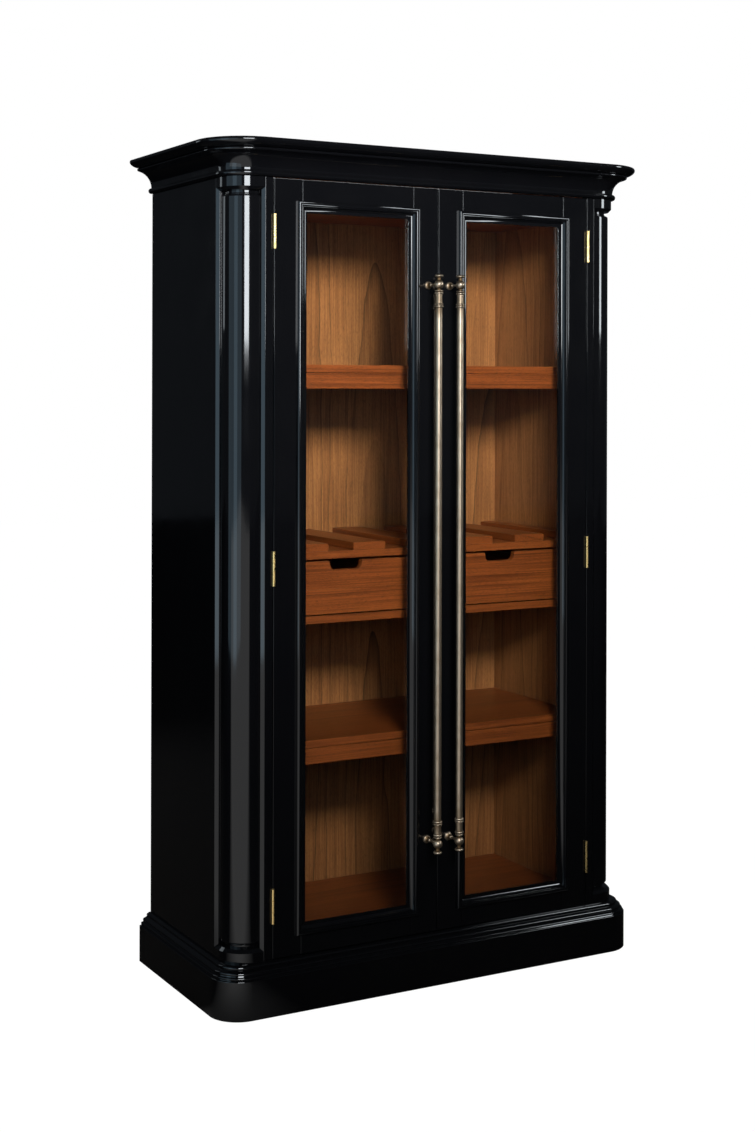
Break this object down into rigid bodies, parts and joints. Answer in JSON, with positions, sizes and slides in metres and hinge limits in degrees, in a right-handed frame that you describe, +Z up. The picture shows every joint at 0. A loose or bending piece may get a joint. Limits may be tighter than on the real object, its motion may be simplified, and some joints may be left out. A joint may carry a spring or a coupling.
{
  "type": "glazed display cabinet",
  "caption": "Tall free-standing display cabinet with glazed doors on butt hinges, long bar handles, wooden shelves, a bottle rack and drawers, between round corner posts.",
  "frame": {"origin": "middle of the object's box in plan, on the floor under the plinth", "axes": "+X to the viewer's right seen from the front, the doors face -Y, +Z up"},
  "size_m": [1.339, 0.5972, 2.2],
  "materials": {
    "black_lacquer": "high-gloss black lacquer on wood",
    "walnut_veneer": "satin walnut-coloured veneer",
    "walnut_solid": "satin reddish walnut-coloured solid wood",
    "aged_brass": "satin aged brass",
    "polished_brass": "polished brass",
    "clear_glass": "clear polished float glass"
  },
  "bodies": {
    "case": {"plinth": "black_lacquer", "base_moulding": "black_lacquer", "cornice_moulding": "black_lacquer", "cornice_top": "black_lacquer", "corner_post_left": "black_lacquer", "corner_post_right": "black_lacquer", "side_panel_left": "black_lacquer", "side_panel_right": "black_lacquer", "face_stile_left": "black_lacquer", "face_stile_right": "black_lacquer", "bottle_slat_1": "walnut_solid", "bottle_slat_2": "walnut_solid", "bottle_slat_3": "walnut_solid", "bottle_slat_4": "walnut_solid", "bottle_slat_5": "walnut_solid", "bottle_slat_6": "walnut_solid", "bottle_slat_7": "walnut_solid", "back_panel": "walnut_veneer", "ceiling_panel": "walnut_veneer", "drawer_board": "walnut_solid", "drawer_divider": "walnut_veneer", "drawer_filler_left": "walnut_veneer", "drawer_filler_right": "walnut_veneer", "floor_panel": "walnut_solid", "liner_left": "walnut_veneer", "liner_right": "walnut_veneer", "lower_shelf": "walnut_solid", "rack_board": "walnut_solid", "upper_shelf": "walnut_solid", "hinge_case_leaf_left_low": "polished_brass", "hinge_case_leaf_left_mid": "polished_brass", "hinge_case_leaf_left_top": "polished_brass", "hinge_case_leaf_right_low": "polished_brass", "hinge_case_leaf_right_mid": "polished_brass", "hinge_case_leaf_right_top": "polished_brass"},
    "door_left": {"hinge_stile_left": "black_lacquer", "meeting_stile_left": "black_lacquer", "top_rail_left": "black_lacquer", "bottom_rail_left": "black_lacquer", "glazing_moulding_left": "black_lacquer", "glass_pane_left": "clear_glass", "handle_left": "aged_brass", "hinge_door_leaf_left_low": "polished_brass", "hinge_door_leaf_left_mid": "polished_brass", "hinge_door_leaf_left_top": "polished_brass"},
    "drawer_left": {"drawer_front_left": "walnut_solid", "drawer_box_left": "walnut_veneer"},
    "door_right": {"hinge_stile_right": "black_lacquer", "meeting_stile_right": "black_lacquer", "top_rail_right": "black_lacquer", "bottom_rail_right": "black_lacquer", "glazing_moulding_right": "black_lacquer", "glass_pane_right": "clear_glass", "handle_right": "aged_brass", "hinge_door_leaf_right_low": "polished_brass", "hinge_door_leaf_right_mid": "polished_brass", "hinge_door_leaf_right_top": "polished_brass"},
    "drawer_right": {"drawer_front_right": "walnut_solid", "drawer_box_right": "walnut_veneer"}
  },
  "joints": [
    {"name": "door_left_swing", "type": "hinge", "parent": "case", "child": "door_left", "pos_m": [-0.4846, -0.23275, 1.12], "axis": [0, 0, -1], "range_deg": [0, 165]},
    {"name": "door_right_swing", "type": "hinge", "parent": "case", "child": "door_right", "pos_m": [0.4846, -0.23275, 1.12], "axis": [0, 0, 1], "range_deg": [0, 165]},
    {"name": "drawer_left_slide", "type": "slide", "parent": "case", "child": "drawer_left", "axis": [0, -1, 0], "range_m": [0, 0.24]},
    {"name": "drawer_right_slide", "type": "slide", "parent": "case", "child": "drawer_right", "axis": [0, -1, 0], "range_m": [0, 0.24]}
  ],
  "couplings": [
    {"joint": "drawer_left_slide", "follows": "door_left_swing", "m_per_rad": 0.08},
    {"joint": "drawer_right_slide", "follows": "door_right_swing", "m_per_rad": 0.08}
  ]
}
